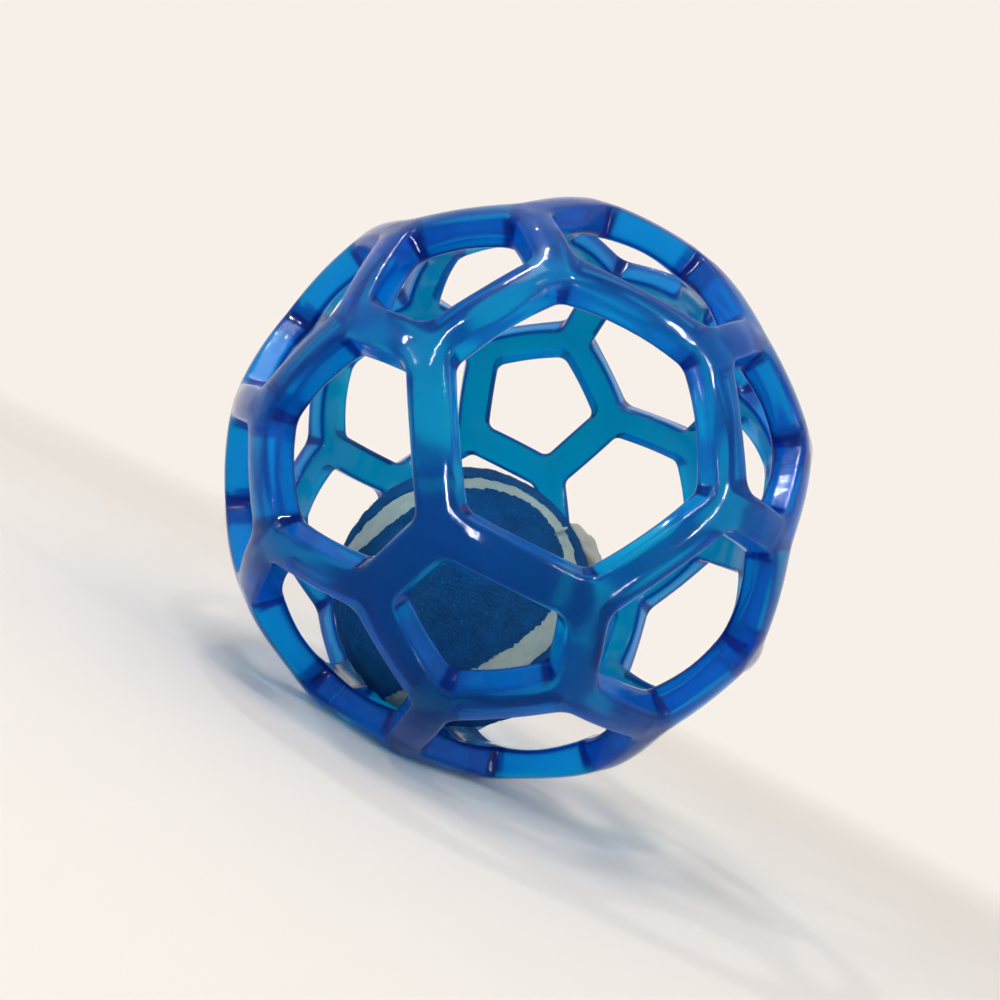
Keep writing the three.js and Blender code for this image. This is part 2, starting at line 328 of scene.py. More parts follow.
def side_rows(sides, inset, radius, arc_steps=6, straight_steps=8):
    """Points along every side of every face, at an inset from that side, with its corners rounded.

    Half an arc, a straight line and half an arc follow each other, from corner to corner.
    """
    corners = (sides.before, sides.start, sides.end, sides.after)
    before, start, end, after = (sides.points[ids] for ids in corners)
    first = corner_arc(start, before, end, inset, radius, arc_steps)
    last = corner_arc(end, after, start, inset, radius, arc_steps)[:, ::-1]
    along = np.linspace(0, 1, straight_steps + 1)[1:-1, None]
    straight = first[:, -1:] + (last[:, :1] - first[:, -1:]) * along
    return np.concatenate([first, straight, last], axis=1)


def shared_middle(sides, rows):
    """The mean of the rows on both sides of each strut, and of all three faces at its junctions."""
    middle = (rows + rows[sides.mate][:, ::-1]) / 2
    total = np.zeros((JUNCTIONS, 3))
    np.add.at(total, sides.start, rows[:, 0])
    middle[:, 0] = total[sides.start] / 3
    middle[:, -1] = total[sides.end] / 3
    return middle


def arched(sides, surface, cage, fade_height=0.012):
    """A surface bowed outwards along each strut, by a parabola that fades at the ground.

    The parabola runs over the distance from the nearer of two lines, each of which goes from the cage's
    middle to one of the strut's junctions.
    """
    lines = (unit(sides.points[ids])[:, None, None] for ids in (sides.start, sides.end))
    reaches = (np.linalg.norm(np.cross(surface, line), axis=-1, keepdims=True) for line in lines)
    share = np.clip(np.minimum(*reaches) / (cage.strut_length / 2), 0, 1)
    height = surface[..., 2:] + CAGE_MIDDLE.z
    return surface + unit(surface) * cage.arch * share * (2 - share) * np.clip(height / fade_height, 0, 1)


def cage_surface(cage, crown_steps=4, edge_steps=5):
    """Rows of points from a strut's crown, over its flank and the opening's lip, down the wall and inside.

    The crown is the middle of a quadratic curve from one flank to the other, bent by the sharp edge of the
    two face planes. Lip and inner edge are quarter circles in inset and radius, the wall between them is
    straight, and the inside lies on a sphere. All of it is then arched along the struts.
    """
    sides = lattice_sides(cage.strut_length, cage.entry_inset)
    half = cage.strut_width / 2

    def rows_at(inset):
        return side_rows(sides, inset, cage.corner_radius + half - inset)

    flank = rows_at(cage.ridge_rounding)
    start, end = sides.points[sides.start], sides.points[sides.end]
    along = unit(end - start)
    middle = shared_middle(sides, flank)
    foot = start[:, None] + dot(middle - start[:, None], along[:, None]) * along[:, None]
    foot[:, 0] = start
    foot[:, -1] = end
    crown = (foot + middle) / 2
    rows = [
        (1 - t) ** 2 * crown + t * (1 - t) * (flank + foot) + t ** 2 * flank
        for t in np.linspace(0, 1, crown_steps + 1)
    ]
    quarter = np.linspace(0, math.pi / 2, edge_steps + 1)
    for angle in quarter:
        row = rows_at(half - cage.lip_rounding * (1 - math.sin(angle)))
        rows.append(row - unit(row) * cage.lip_rounding * (1 - math.cos(angle)))
    lip = rows[-1]
    edge = [
        unit(rows_at(half + cage.wall_lean - cage.inner_rounding * (1 - math.cos(angle))))
        * (cage.inner_radius + cage.inner_rounding * (1 - math.sin(angle)))
        for angle in quarter
    ]
    rows += [lip + (edge[0] - lip) * share for share in (1 / 3, 2 / 3)]
    rows += edge
    inside = unit(shared_middle(sides, edge[-1])) * cage.inner_radius
    rows += [unit(edge[-1] + inside) * cage.inner_radius, inside]
    return arched(sides, np.stack(rows, axis=1), cage) + np.array(CAGE_MIDDLE)


def grid_faces(count, rows, columns):
    """Corner numbers of the squares of some grids of points, row by row."""
    ids = np.arange(count * rows * columns).reshape(count, rows, columns)
    corners = ids[:, :-1, :-1], ids[:, :-1, 1:], ids[:, 1:, 1:], ids[:, 1:, :-1]
    return np.stack(corners, -1).reshape(-1, 4)


def new_piece(name, points, faces, material, body, replaced=(), uv=None):
    """A smooth welded mesh object that rides a body and takes a material slot's finish."""
    mesh = bpy.data.meshes.new(name)
    mesh.from_pydata(points.reshape(-1, 3), [], faces)
    if uv is not None:
        layer = mesh.uv_layers.new(name="Along")
        layer.data.foreach_set("uv", uv.reshape(-1, 2)[faces.reshape(-1)].astype(np.float32).ravel())
    shaped = bmesh.new()
    shaped.from_mesh(mesh)
    bmesh.ops.remove_doubles(shaped, verts=shaped.verts, dist=WELD_DISTANCE)
    shaped.to_mesh(mesh)
    shaped.free()
    mesh.shade_smooth()
    mesh.materials.append(material)
    piece = bpy.data.objects.new(name, mesh)
    bpy.context.scene.collection.objects.link(piece)
    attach(piece, body)
    if replaced:
        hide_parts(*replaced)


def add_node(tree, kind, inputs=None, **settings):
    """A new node, with its settings and its inputs set to values or linked to sockets."""
    made = tree.nodes.new(kind)
    for name, value in settings.items():
        setattr(made, name, value)
    for name, value in (inputs or {}).items():
        if isinstance(value, bpy.types.NodeSocket):
            tree.links.new(value, made.inputs[name])
        else:
            made.inputs[name].default_value = value
    return made


def new_material(name):
    """An empty material with its node tree and output."""
    material = bpy.data.materials.new(name)
    material.use_nodes = True
    tree = material.node_tree
    tree.nodes.clear()
    return material, tree, add_node(tree, "ShaderNodeOutputMaterial")


def mottle_group():
    """The shared mottle: noise over the surface, drawn out to a mask by its low and high ends."""
    if "Mottle" in bpy.data.node_groups:
        return bpy.data.node_groups["Mottle"]
    group = bpy.data.node_groups.new("Mottle", "ShaderNodeTree")
    for name, kind, value in (
        ("Vector", "NodeSocketVector", None),
        ("Scale", "NodeSocketFloat", 50.0),
        ("Detail", "NodeSocketFloat", 3.0),
        ("Low", "NodeSocketFloat", 0.35),
        ("High", "NodeSocketFloat", 0.65),
    ):
        socket = group.interface.new_socket(name, in_out="INPUT", socket_type=kind)
        if value is not None:
            socket.default_value = value
    group.interface.new_socket("Mask", in_out="OUTPUT", socket_type="NodeSocketFloat")
    given = add_node(group, "NodeGroupInput").outputs
    noise = add_node(group, "ShaderNodeTexNoise", {
        "Vector": given["Vector"], "Scale": given["Scale"], "Detail": given["Detail"]})
    mask = add_node(group, "ShaderNodeMapRange", {
        "Value": noise.outputs["Fac"], "From Min": given["Low"], "From Max": given["High"]})
    add_node(group, "NodeGroupOutput", {"Mask": mask.outputs["Result"]})
    return group


def mottle(tree, vector, scale, detail=3.0, low=0.35, high=0.65):
    """A mask from the shared mottle group."""
    placed = add_node(tree, "ShaderNodeGroup", node_tree=mottle_group())
    for name, value in (("Scale", scale), ("Detail", detail), ("Low", low), ("High", high)):
        placed.inputs[name].default_value = value
    tree.links.new(vector, placed.inputs["Vector"])
    return placed.outputs["Mask"]


def ranged(tree, value, low, high):
    """A mask stretched to run from one value to another."""
    return add_node(tree, "ShaderNodeMapRange", {
        "Value": value, "To Min": low, "To Max": high}).outputs["Result"]


def mixed(tree, factor, first, second):
    """A colour between two colours."""
    inputs = {MIX_FACTOR: factor, MIX_FIRST: first, MIX_SECOND: second}
    return add_node(tree, "ShaderNodeMix", inputs, data_type="RGBA").outputs[MIX_RESULT]


def bump(tree, height, distance, strength=1.0, under=None):
    """A bumped normal, over another one if given."""
    inputs = {"Height": height, "Distance": distance, "Strength": strength}
    if under is not None:
        inputs["Normal"] = under
    return add_node(tree, "ShaderNodeBump", inputs).outputs["Normal"]


def opaque(color):
    """A colour with full alpha."""
    return (*color, 1.0)


def scaled(color, factor):
    """A colour made brighter or darker."""
    return [channel * factor for channel in color]


def profile_ramp(tree, share, stops):
    """A colour that runs through stops of place and colour along a strut's profile."""
    ramp = add_node(tree, "ShaderNodeValToRGB", {"Fac": share})
    elements = ramp.color_ramp.elements
    for place, _ in stops[1:-1]:
        elements.new(place)
    for element, (_, color) in zip(elements, stops):
        element.color = opaque(color)
    return ramp.outputs["Color"]


def along_strut(tree, uv, face, wall, edge, straight_until=0.17, corner_from=0.36):
    """A strut's colour: one on its faces, one on its walls, where a lighter colour is painted light, and a
    dark one at inner edges and in corners, painted as shade.

    The UV map runs across a strut in X and along it in Y. The last two shares are counted from its middle.
    """
    places = add_node(tree, "ShaderNodeSeparateXYZ", {0: uv}).outputs
    # Painted shade at the inner edge of a straight, and painted light on its wall where the wall colour is
    # lighter.
    straight = profile_ramp(tree, places["X"], (
        (0.0, face), (0.3, face), (0.47, wall), (0.64, wall),
        (0.73, edge), (0.78, edge), (0.88, face), (1.0, face)))
    # Painted shade spread over a corner's wall and inner edge.
    corner = profile_ramp(tree, places["X"], (
        (0.0, face), (0.35, face), (0.52, edge), (0.78, edge), (0.88, face), (1.0, face)))
    signed = add_node(tree, "ShaderNodeMath", {0: places["Y"], 1: 0.5}, operation="SUBTRACT")
    away = add_node(tree, "ShaderNodeMath", {0: signed.outputs["Value"]}, operation="ABSOLUTE")
    rounding = add_node(tree, "ShaderNodeMapRange", {
        "Value": away.outputs["Value"], "From Min": straight_until, "From Max": corner_from},
        interpolation_type="SMOOTHSTEP")
    return mixed(tree, rounding.outputs["Result"], straight, corner)


def cage_material(cage):
    """See-through blue rubber: clear and cloudy rubber mixed, rippled, and darker where it is thick, with
    painted light on the openings' walls and painted shade at their inner edges and corners.
    """
    material, tree, output = new_material("Blue see-through rubber")
    coordinates = add_node(tree, "ShaderNodeTexCoord").outputs
    place = coordinates["Object"]
    uv = coordinates["UV"]
    haze = mottle(tree, place, scale=90, detail=4)
    ripple = mottle(tree, place, scale=160, detail=2, low=0.2, high=0.8)
    grain = mottle(tree, place, scale=350, detail=2, low=0.2, high=0.8)
    soft = bump(tree, ripple, distance=0.00005)
    sharp = bump(tree, grain, distance=0.00003, under=bump(tree, ripple, distance=0.00012))
    # Painted shade: the fillet tint darkens the light through the clear rubber at the openings' inner edges
    # and corners.
    clear_color = along_strut(tree, uv, cage.clear_color, cage.clear_color, cage.fillet_shade_color)
    clear = add_node(tree, "ShaderNodeBsdfPrincipled", {
        "Base Color": clear_color, "Roughness": ranged(tree, haze, low=0.2, high=0.26), "IOR": 1.2,
        "Transmission Weight": 1.0, "Specular Tint": opaque((0.0, 0.0, 0.0)), "Normal": soft,
        "Coat Weight": 1.0, "Coat Roughness": 0.06, "Coat IOR": 1.15})
    # Painted light and shade: the cloudy rubber gets a lighter blue on the openings' walls and a dark blue
    # at their inner edges and corners.
    cloudy_color = along_strut(tree, uv, cage.cloudy_color, cage.lit_wall_color, cage.corner_shade_color)
    # The haze mottle mixes a little of the lit wall colour in at random, over a colour that carries the
    # painted light and shade.
    hazy_lit_and_shaded_color = mixed(tree, ranged(tree, haze, low=0.0, high=0.1), cloudy_color, opaque(cage.lit_wall_color))
    cloudy = add_node(tree, "ShaderNodeBsdfPrincipled", {
        "Base Color": hazy_lit_and_shaded_color, "Roughness": ranged(tree, haze, low=0.03, high=0.08), "IOR": 1.2,
        "Specular IOR Level": 0.5, "Specular Tint": opaque(cage.gloss_tint), "Normal": sharp})
    both = add_node(tree, "ShaderNodeMixShader", {"Fac": cage.cloudiness})
    tree.links.new(clear.outputs["BSDF"], both.inputs[1])
    tree.links.new(cloudy.outputs["BSDF"], both.inputs[2])
    tree.links.new(both.outputs["Shader"], output.inputs["Surface"])
    depth = add_node(tree, "ShaderNodeVolumeAbsorption", {
        "Color": opaque(cage.depth_color), "Density": cage.depth_density})
    tree.links.new(depth.outputs["Volume"], output.inputs["Volume"])
    return material


class DOGBALL_OT_cage(bpy.types.Operator):
    """Moulds the lattice cage in see-through blue rubber"""
    bl_idname = "dogball.make_cage"
    bl_label = "Make cage"

    def execute(self, context):
        cage = context.scene.dog_ball_cage
        surface = cage_surface(cage)
        faces = grid_faces(*surface.shape[:3])
        profile = np.linspace(0, 1, surface.shape[1])[:, None]
        along = np.linspace(0, 1, surface.shape[2])
        uv = np.broadcast_to(np.stack(np.broadcast_arrays(profile, along), -1), (*surface.shape[:3], 2))
        rubber = cage_material(cage)
        new_piece("cage_moulding", surface, faces, rubber, "cage", ["lattice_cage"], uv)
        return {"FINISHED"}


def seam_curve(share, lobe):
    """Points of a tennis ball's seam on the unit sphere and its sideways directions.

    The curve adds a ring of one turn and a ring of three turns the other way, lifted by a wave of two.
    """
    def at(s):
        angle = 2 * math.pi * s
        ring = 1 - lobe
        return unit(np.stack([
            ring * np.cos(angle) + lobe * np.cos(3 * angle),
            ring * np.sin(angle) - lobe * np.sin(3 * angle),
            2 * math.sqrt(ring * lobe) * np.sin(2 * angle),
        ], -1))

    step = 1e-4
    points = at(share)
    tangents = unit(at(share + step) - at(share - step))
    return points, unit(np.cross(points, tangents))


def worn_extra(share):
    """How much wider or narrower each half of the seam lies: a bell curve at each uneven place."""
    places = ((0.03, 0.0013, 0.035), (0.77, 0.0008, 0.04), (0.92, -0.0008, 0.045))
    total = np.zeros_like(share)
    for middle, extra, spread in places:
        away = np.abs((share - middle + 0.5) % 1 - 0.5)
        total = total + extra * np.exp(-(away / spread) ** 2)
    return total


def ragged_line(rng, share, reach, first=9, waves=260, fade=0.55):
    """A closed uneven line: cosines of whole turns with random phases, the finer ones weaker."""
    turns = np.arange(first, first + waves)[:, None]
    phases = rng.uniform(0, 2 * math.pi, (waves, 1))
    line = (turns ** -fade * np.cos(2 * math.pi * turns * share + phases)).sum(0)
    return reach * line / np.abs(line).max()


def uneven_field(rng, points, wavelength, waves=28, slowest=0.6, fastest=1.6):
    """An uneven height for each point, from plane waves in random directions with random phases."""
    ways = unit(rng.normal(size=(waves, 3)))
    ways = ways * rng.uniform(slowest, fastest, (waves, 1)) * 2 * math.pi / wavelength
    phases = rng.uniform(0, 2 * math.pi, waves)
    return np.cos(points @ ways.T + phases).sum(-1) / math.sqrt(waves)


def uneven_layers(rng, points, layers):
    """The sum of uneven fields, each with its own height and wavelength."""
    return sum(height * uneven_field(rng, points, wavelength) for height, wavelength in layers)


def turned(points, ball):
    """Points about the ball's own centre, turned as the ball lies and put in its place."""
    turn = np.array(Euler(ball.turn, "XYZ").to_matrix())
    return points @ turn.T + np.array(CAGE_MIDDLE) - np.array([0, 0, ball.drop])


def panel_surface(
        ball, rng, side, columns=1200, edge_steps=4, top_steps=26, rounding=0.0009, sink=0.0003):
    """One felt panel: a closed skin carried along the seam, from its spine inside to its spine outside.

    Side is +1 for the panel over the seam's upper lobes and -1 for the other. An arc joins each seam point
    to a point of the spine, a great arc along the panel's middle, so the skin closes on itself there. The
    edge is a quarter circle, and the top is sunk by uneven waves.
    """
    radius = ball.diameter / 2
    inner = radius - ball.felt_thickness
    share = np.arange(columns + 1) / columns
    seam, sideways = seam_curve(share, ball.seam_lobe)
    along = np.array([1.0, -side, 0.0]) / math.sqrt(2)
    over = np.array([0.0, 0.0, side])
    swing = np.arctan2(seam @ along, seam @ over)
    spine_end = math.radians(100)
    reach = swing / np.abs(swing).max() * spine_end
    spine = np.cos(reach)[:, None] * over + np.sin(reach)[:, None] * along
    inwards = sideways * np.sign(dot(sideways, over)[np.abs(swing).argmin()])
    fray = ragged_line(rng, share, ball.fray)
    half = (ball.seam_width / 2 + fray + worn_extra(share))[:, None] / radius
    edge = seam * np.cos(half) + inwards * np.sin(half)
    arc = np.arccos(np.clip(dot(edge, spine), -1, 1))

    def row(part, height):
        weight = np.sin(arc)
        point = (np.sin((1 - part) * arc) * edge + np.sin(part * arc) * spine) / weight
        return unit(point) * height

    rows = [row(part, inner) for part in (1.0, 0.5, 0.0)]
    for angle in np.linspace(0, math.pi / 2, edge_steps + 1):
        part = rounding * (1 - math.cos(angle)) / (arc * radius)
        rows.append(row(part, radius - rounding * (1 - math.sin(angle))))
    start = rounding / (arc * radius)
    for part in np.linspace(0, 1, top_steps + 1)[1:]:
        rows.append(row(start + (1 - start) * part, radius))
    points = np.stack(rows)
    outside = np.linalg.norm(points, axis=-1, keepdims=True) > radius - rounding / 2
    lumps = uneven_layers(rng, points, FELT_LAYERS)
    points += np.where(outside, unit(points) * np.minimum(lumps - sink, 0)[..., None], 0)
    if side < 0:
        points = points[::-1]
    return turned(points, ball)


def felt_material(ball):
    """Brushed felt: a mottled dark blue ground, fine pale flecks, a fuzzy sheen and a matted bump."""
    material, tree, output = new_material("Blue felt")
    place = add_node(tree, "ShaderNodeTexCoord").outputs["Object"]
    patches = mottle(tree, place, scale=220, detail=4, low=0.3, high=0.7)
    fuzz = mottle(tree, place, scale=1500, detail=3, low=0.25, high=0.75)
    flecks = mottle(tree, place, scale=1400, detail=1, low=0.66, high=0.8)
    pale_ground = scaled(ball.felt_color, 1.7)
    pale_fleck = scaled(ball.fleck_color, 1.5)
    ground = mixed(tree, patches, opaque(ball.felt_color), opaque(pale_ground))
    fuzzy = mixed(tree, ranged(tree, fuzz, low=0.0, high=0.35), ground, opaque(ball.fleck_color))
    color = mixed(tree, ranged(tree, flecks, low=0.0, high=0.45), fuzzy, opaque(pale_fleck))
    shader = add_node(tree, "ShaderNodeBsdfPrincipled", {
        "Base Color": color, "Roughness": 0.95, "Specular IOR Level": 0.05, "Sheen Weight": 0.05,
        "Sheen Roughness": 0.5, "Sheen Tint": opaque((0.08, 0.4, 0.85)),
        "Normal": bump(tree, fuzz, distance=0.0003, strength=0.6)})
    tree.links.new(shader.outputs["BSDF"], output.inputs["Surface"])
    return material


def fibre_spindles(
        ball, rng, clear_of_seam, seam_points=600, root_depth=0.0004, ring_angles=(0.0, 2.1, 4.2)):
    """Loose fibres: slim three-sided spindles that lie over the felt and lift a little at the middle.

    Each has a root in the felt, a ring of three points round its middle and a tip.
    """
    radius = ball.diameter / 2
    count = ball.fibres
    roots = unit(rng.normal(size=(count, 3)))
    seam, _ = seam_curve(np.arange(seam_points) / seam_points, ball.seam_lobe)
    roots = roots[(roots @ seam.T).max(1) < math.cos(clear_of_seam / radius)]
    count = len(roots)
    ways = unit(np.cross(roots, rng.normal(size=(count, 3))))
    length = rng.uniform(0.0006, 0.0016, (count, 1))
    lift = rng.uniform(0.0, 0.00035, (count, 1))
    girth = rng.uniform(0.00003, 0.00006, (count, 1))
    rise = rng.uniform(-0.0001, 0.0004, (count, 1))
    first = roots * (radius - root_depth)
    last = first + ways * length + roots * rise
    middle = (first + last) / 2 + roots * lift
    across = np.cross(roots, ways)
    ring = [middle + girth * (math.cos(a) * across + math.sin(a) * roots) for a in ring_angles]
    points = np.stack([first, *ring, last], 1)
    pattern = np.array([[0, 2, 1], [0, 3, 2], [0, 1, 3], [4, 1, 2], [4, 2, 3], [4, 3, 1]])
    faces = (np.arange(count)[:, None, None] * points.shape[1] + pattern).reshape(-1, 3)
    return turned(points, ball), faces


class DOGBALL_OT_felt(bpy.types.Operator):
    """Lays the two felt panels and their loose fibres over the ball"""
    bl_idname = "dogball.make_felt"
    bl_label = "Make felt"

    def execute(self, context):
        ball = context.scene.dog_ball_ball
        material = felt_material(ball)
        for side, letter in ((1, "a"), (-1, "b")):
            surface = panel_surface(ball, np.random.default_rng(FELT_SEED + side), side)
            faces = grid_faces(1, *surface.shape[:2])
            replaced = [f"felt_panel_{letter}"]
            new_piece(f"felt_cover_{letter}", surface, faces, material, "ball", replaced)
        clear_of_seam = ball.seam_width / 2 + ball.fray + FIBRE_CLEARANCE
        points, faces = fibre_spindles(ball, np.random.default_rng(FIBRE_SEED), clear_of_seam)
        new_piece("felt_fibres", points, faces, material, "ball")
        return {"FINISHED"}


def seam_surface(
        ball, rng, columns=1200, across_steps=10, tuck=0.0002, crown_fall=0.0004, crease_depth=0.0006,
        seam_turns=1.4):
    """The seam: a low crowned band carried along the seam's curve, with its edges tucked under the felt.

    The crown falls towards both edges by the cube of the way across. The band is closed underneath, and
    uneven waves crease its top. The UV map has the way along it in X and across it in Y, in metres.
    """
    radius = ball.diameter / 2
    share = np.arange(columns + 1) / columns
    seam, sideways = seam_curve(share, ball.seam_lobe)
    half = ball.seam_width / 2 + ball.fray + tuck + np.maximum(worn_extra(share), 0)[:, None]
    across = np.linspace(-1, 1, across_steps + 1)
    top = radius - ball.seam_sink - crown_fall * np.abs(across) ** 3
    under = radius - ball.felt_thickness
    profile = [*zip(across, top), (1.0, under), (0.0, under), (-1.0, under), (-1.0, top[0])]
    rows = []
    for place, height in profile:
        angle = place * half / radius
        rows.append((seam * np.cos(angle) + sideways * np.sin(angle)) * height)
    points = np.stack(rows)
    outside = np.linalg.norm(points, axis=-1, keepdims=True) > radius - 2 * ball.seam_sink - crease_depth
    creases = uneven_layers(rng, points, SEAM_LAYERS)
    points += np.where(outside, unit(points) * creases[..., None], 0)
    length = 2 * math.pi * radius * seam_turns
    sides = np.array([place for place, _ in profile])[:, None]
    uv = np.stack(np.broadcast_arrays(share * length, sides * half[:, 0]), -1)
    return turned(points, ball), uv


def lump_surface(ball, rng, way, lie, half_sizes, lean, roughness, steps=40):
    """A torn lump: an egg on the felt, drawn out along its lie, roughened by uneven waves and leaned over.

    The half sizes are its height off the felt, its length along its lie and its width. The lean moves each
    point along the lie by its share of the height.
    """
    out = unit(np.array(way))
    along = unit(np.array(lie) - dot(np.array(lie), out) * out)
    across = np.cross(out, along)
    height, length, width = half_sizes
    turn = np.linspace(2 * math.pi, 0, steps + 1)[None, :, None]
    fall = np.linspace(0, math.pi, steps // 2 + 1)[:, None, None]
    shape = height * np.cos(fall) * out + np.sin(fall) * (
        length * np.cos(turn) * along + width * np.sin(turn) * across)
    rough = 1 + roughness * uneven_layers(rng, shape, LUMP_LAYERS)
    points = out * (ball.diameter / 2) + shape * rough[..., None] + lean * np.cos(fall) * along
    return points + np.array(CAGE_MIDDLE) - np.array([0, 0, ball.drop])


def seam_material(name, clean_color, grime_color):
    """Dull pale rubber or torn felt: streaks along its length and grime in the creases."""
    material, tree, output = new_material(name)
    coordinates = add_node(tree, "ShaderNodeTexCoord").outputs
    drawn_out = add_node(tree, "ShaderNodeMapping", {
        "Vector": coordinates["UV"], "Scale": (0.12, 1.0, 1.0)})
    streaks = mottle(tree, drawn_out.outputs["Vector"], scale=2200, detail=3, low=0.35, high=0.75)
    grime = mottle(tree, coordinates["Object"], scale=260, detail=4, low=0.45, high=0.8)
    clean = mixed(tree, ranged(tree, streaks, low=0.0, high=0.4), opaque(clean_color), opaque(grime_color))
    color = mixed(tree, ranged(tree, grime, low=0.0, high=0.6), clean, opaque(grime_color))
    shader = add_node(tree, "ShaderNodeBsdfPrincipled", {
        "Base Color": color, "Roughness": 0.8, "Specular IOR Level": 0.3,
        "Normal": bump(tree, streaks, distance=0.0002, strength=0.6)})
    tree.links.new(shader.outputs["BSDF"], output.inputs["Surface"])
    return material


class DOGBALL_OT_seam(bpy.types.Operator):
    """Runs the cream seam between the felt panels and adds its torn flap and tuft"""
    bl_idname = "dogball.make_seam"
    bl_label = "Make seam"

    def execute(self, context):
        ball = context.scene.dog_ball_ball
        surface, uv = seam_surface(ball, np.random.default_rng(SEAM_SEED))
        faces = grid_faces(1, *surface.shape[:2])
        cream = seam_material("Cream seam", ball.seam_color, ball.grime_color)
        new_piece("cream_seam", surface, faces, cream, "ball", ["seam_band"], uv)
        flap = lump_surface(
            ball, np.random.default_rng(FLAP_SEED), ball.flap_way, lie=(0.42, 0.84, 0.33),
            half_sizes=(0.0006, 0.0033, 0.0004), lean=0, roughness=0.05)
        new_piece("seam_flap", flap, grid_faces(1, *flap.shape[:2]), cream, "ball")
        torn = seam_material("Torn tuft", ball.tuft_color, scaled(ball.tuft_color, 0.5))
        tuft = lump_surface(
            ball, np.random.default_rng(TUFT_SEED), ball.tuft_way, lie=(-0.73, 0, 0.68),
            half_sizes=(0.0032, 0.0062, 0.0026), lean=-0.003, roughness=0.11)
        new_piece("torn_tuft", tuft, grid_faces(1, *tuft.shape[:2]), torn, "ball")
        return {"FINISHED"}


def core_material(ball):
    """Black core rubber with a dusty mottle and a fine grain."""
    material, tree, output = new_material("Black core rubber")
    place = add_node(tree, "ShaderNodeTexCoord").outputs["Object"]
    dust = mottle(tree, place, scale=150, detail=4)
    grain = mottle(tree, place, scale=1200, detail=2)
    dust_color = (0.09, 0.09, 0.09)
    color = mixed(tree, ranged(tree, dust, low=0.0, high=0.5), opaque(ball.core_color), opaque(dust_color))
    shader = add_node(tree, "ShaderNodeBsdfPrincipled", {
        "Base Color": color, "Roughness": ranged(tree, dust, low=0.6, high=0.85),
        "Normal": bump(tree, grain, distance=0.0001)})
    tree.links.new(shader.outputs["BSDF"], output.inputs["Surface"])
    return material


class DOGBALL_OT_core(bpy.types.Operator):
    """Finishes the two halves of the rubber core"""
    bl_idname = "dogball.finish_core"
    bl_label = "Finish core"

    def execute(self, context):
        material = core_material(context.scene.dog_ball_ball)
        for node in ("core_half_a", "core_half_b"):
            mesh = frame["nodes"][node].data
            mesh.materials.clear()
            mesh.materials.append(material)
        return {"FINISHED"}


def camera_axes(stage):
    """The camera's right, up and backward directions, rolled about its line of sight."""
    level = math.cos(stage.elevation)
    back = Vector((
        math.sin(stage.azimuth) * level, -math.cos(stage.azimuth) * level, math.sin(stage.elevation)))
    flat_right = Vector((0, 0, 1)).cross(back).normalized()
    up = math.cos(stage.roll) * back.cross(flat_right) + math.sin(stage.roll) * flat_right
    return up.cross(back), up, back


def add_camera(stage, middle_in_frame=(518.3, 485.8), frame_size=1000):
    """The camera at the photograph's angle, shifted so that the cage's middle falls on its pixel."""
    right, up, back = camera_axes(stage)
    data = bpy.data.cameras.new("camera")
    data.lens = stage.lens
    data.shift_x = 0.5 - middle_in_frame[0] / frame_size
    data.shift_y = middle_in_frame[1] / frame_size - 0.5
    data.clip_start = 0.01
    camera = bpy.data.objects.new("camera", data)
    turn = Matrix((right, up, back)).transposed().to_4x4()
    camera.matrix_world = Matrix.Translation(CAGE_MIDDLE + back * stage.distance) @ turn
    bpy.context.scene.collection.objects.link(camera)
    bpy.context.scene.camera = camera


def add_lamp(stage, name, place, size, power):
    """A soft lamp that looks at the cage, placed along the camera's right, up and backward directions."""
    data = bpy.data.lights.new(name, "AREA")
    data.shape = "RECTANGLE"
    data.size, data.size_y = size
    data.energy = power
    lamp = bpy.data.objects.new(name, data)
    offset = sum((axis * reach for axis, reach in zip(camera_axes(stage), place)), Vector())
    facing = offset.to_track_quat("Z", "Y").to_matrix().to_4x4()
    lamp.matrix_world = Matrix.Translation(CAGE_MIDDLE + offset) @ facing
    bpy.context.scene.collection.objects.link(lamp)
    return lamp


def add_floor(stage, clearance=0.0003, rings=8, columns=64, fade_start=0.35):
    """A round floor, a disc of rings about the object, which fades into the backdrop between two radii."""
    radius = np.linspace(0, stage.floor_radius, rings + 1)[:, None]
    spin = np.linspace(0, 2 * math.pi, columns + 1)
    points = np.stack(np.broadcast_arrays(radius * np.cos(spin), radius * np.sin(spin), -clearance), -1)
    mesh = bpy.data.meshes.new("floor")
    mesh.from_pydata(points.reshape(-1, 3), [], grid_faces(1, *points.shape[:2])[:, ::-1])
    material, tree, output = new_material("Pale floor")
    place = add_node(tree, "ShaderNodeTexCoord").outputs["Object"]
    away = add_node(tree, "ShaderNodeVectorMath", {0: place}, operation="LENGTH").outputs["Value"]
    fade = add_node(tree, "ShaderNodeMapRange", {
        "Value": away, "From Min": stage.floor_radius * fade_start, "From Max": stage.floor_radius},
        interpolation_type="SMOOTHSTEP")
    shader = add_node(tree, "ShaderNodeBsdfDiffuse", {"Color": opaque(stage.backdrop_color)})
    clear = add_node(tree, "ShaderNodeBsdfTransparent")
    both = add_node(tree, "ShaderNodeMixShader", {
        0: fade.outputs["Result"], 1: shader.outputs["BSDF"], 2: clear.outputs["BSDF"]})
    tree.links.new(both.outputs["Shader"], output.inputs["Surface"])
    mesh.materials.append(material)
    floor = bpy.data.objects.new("floor", mesh)
    bpy.context.scene.collection.objects.link(floor)


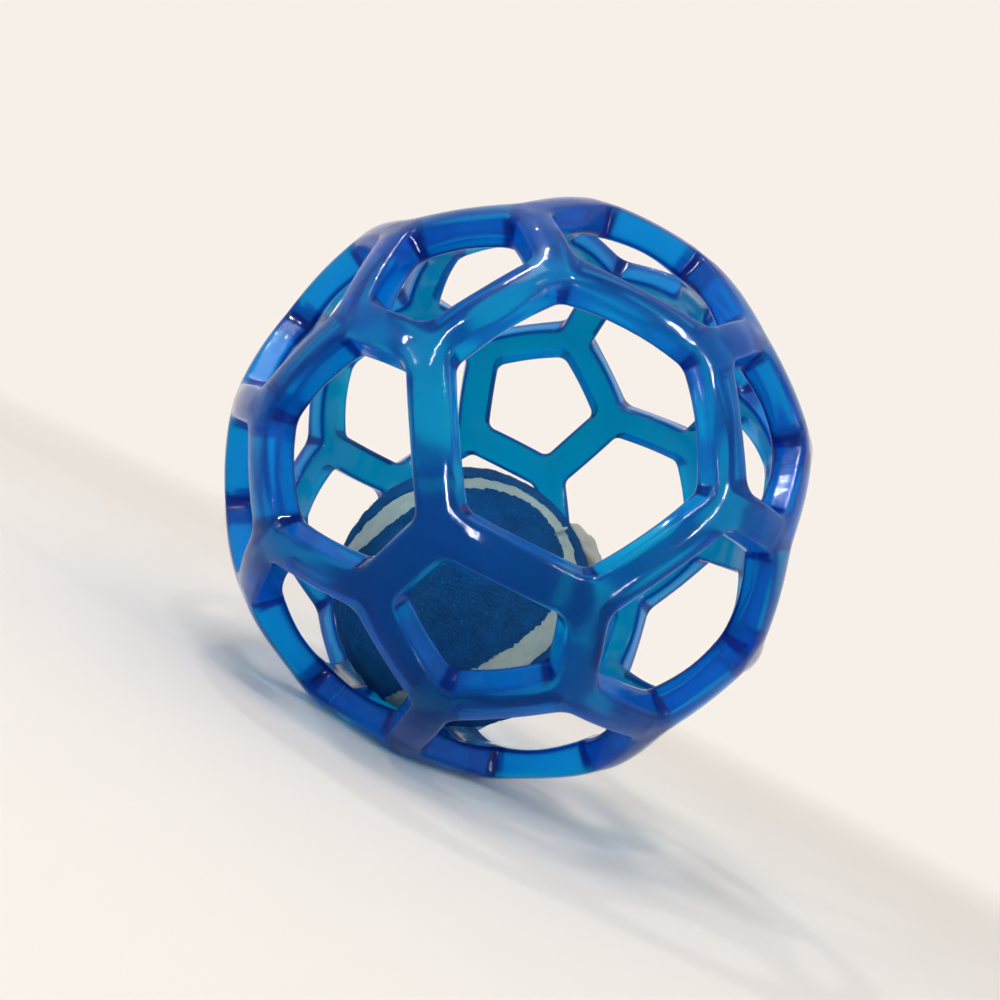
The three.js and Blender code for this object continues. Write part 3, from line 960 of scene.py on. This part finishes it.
def add_world(stage):
    """Even soft light, with the pale backdrop where the camera, a reflection or clear rubber sees it."""
    world = bpy.data.worlds.new("backdrop")
    world.use_nodes = True
    tree = world.node_tree
    tree.nodes.clear()
    rays = add_node(tree, "ShaderNodeLightPath").outputs
    seen = rays["Is Camera Ray"]
    for name in ("Is Glossy Ray", "Is Transmission Ray"):
        either = add_node(tree, "ShaderNodeMath", {0: seen, 1: rays[name]}, operation="MAXIMUM")
        seen = either.outputs["Value"]
    light = add_node(tree, "ShaderNodeBackground", {
        "Color": opaque((1.0, 1.0, 1.0)), "Strength": stage.ambient})
    backdrop = add_node(tree, "ShaderNodeBackground", {
        "Color": opaque(stage.backdrop_color), "Strength": 1.0})
    both = add_node(tree, "ShaderNodeMixShader", {
        0: seen, 1: light.outputs["Background"], 2: backdrop.outputs["Background"]})
    output = add_node(tree, "ShaderNodeOutputWorld")
    tree.links.new(both.outputs["Shader"], output.inputs["Surface"])
    bpy.context.scene.world = world


class DOGBALL_OT_stage(bpy.types.Operator):
    """Sets up the camera, the pale floor, the backdrop and the lamps"""
    bl_idname = "dogball.make_stage"
    bl_label = "Make stage"

    def execute(self, context):
        stage = context.scene.dog_ball_stage
        context.scene.view_settings.view_transform = "Standard"
        add_camera(stage)
        add_floor(stage)
        add_world(stage)
        add_lamp(stage, "key", KEY_PLACE, KEY_SIZE, stage.key_power)
        for number, place in enumerate(SPOT_PLACES):
            add_lamp(stage, f"spot_{number}", place, SPOT_SIZE, stage.spot_power)
        for number, place in enumerate(GLINT_PLACES):
            strip = add_lamp(stage, f"glint_{number}", place, GLINT_SIZE, stage.glint_power)
            strip.visible_camera = False
            strip.visible_diffuse = False
            strip.visible_transmission = False
            strip.visible_volume_scatter = False
        return {"FINISHED"}


class DOGBALL_PT_panel(bpy.types.Panel):
    """Sizes, colours and makers of the dog ball"""
    bl_idname = "DOGBALL_PT_panel"
    bl_label = "Dog Ball"
    bl_space_type = "VIEW_3D"
    bl_region_type = "UI"
    bl_category = "Dog Ball"

    def draw(self, context):
        for name in SETTINGS:
            box = self.layout.box()
            group = getattr(context.scene, name)
            for prop in group.bl_rna.properties:
                if prop.identifier not in ("rna_type", "name"):
                    box.prop(group, prop.identifier)
        for maker in MAKERS:
            self.layout.operator(maker.bl_idname)


SETTINGS = {
    "dog_ball_cage": CageSettings,
    "dog_ball_ball": BallSettings,
    "dog_ball_stage": StageSettings,
}
MAKERS = (DOGBALL_OT_stage, DOGBALL_OT_cage, DOGBALL_OT_felt, DOGBALL_OT_seam, DOGBALL_OT_core)
CLASSES = (*SETTINGS.values(), *MAKERS, DOGBALL_PT_panel)


def register():
    """Registers the classes and hangs the settings on the scene."""
    for cls in CLASSES:
        bpy.utils.register_class(cls)
    for name, cls in SETTINGS.items():
        setattr(bpy.types.Scene, name, PointerProperty(type=cls))


def unregister():
    """Takes the settings off the scene and the classes out again."""
    for name in SETTINGS:
        delattr(bpy.types.Scene, name)
    for cls in reversed(CLASSES):
        bpy.utils.unregister_class(cls)


def main():
    """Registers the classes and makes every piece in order."""
    register()
    for maker in MAKERS:
        group, action = maker.bl_idname.split(".")
        getattr(getattr(bpy.ops, group), action)()


if __name__ == "__main__":
    main()
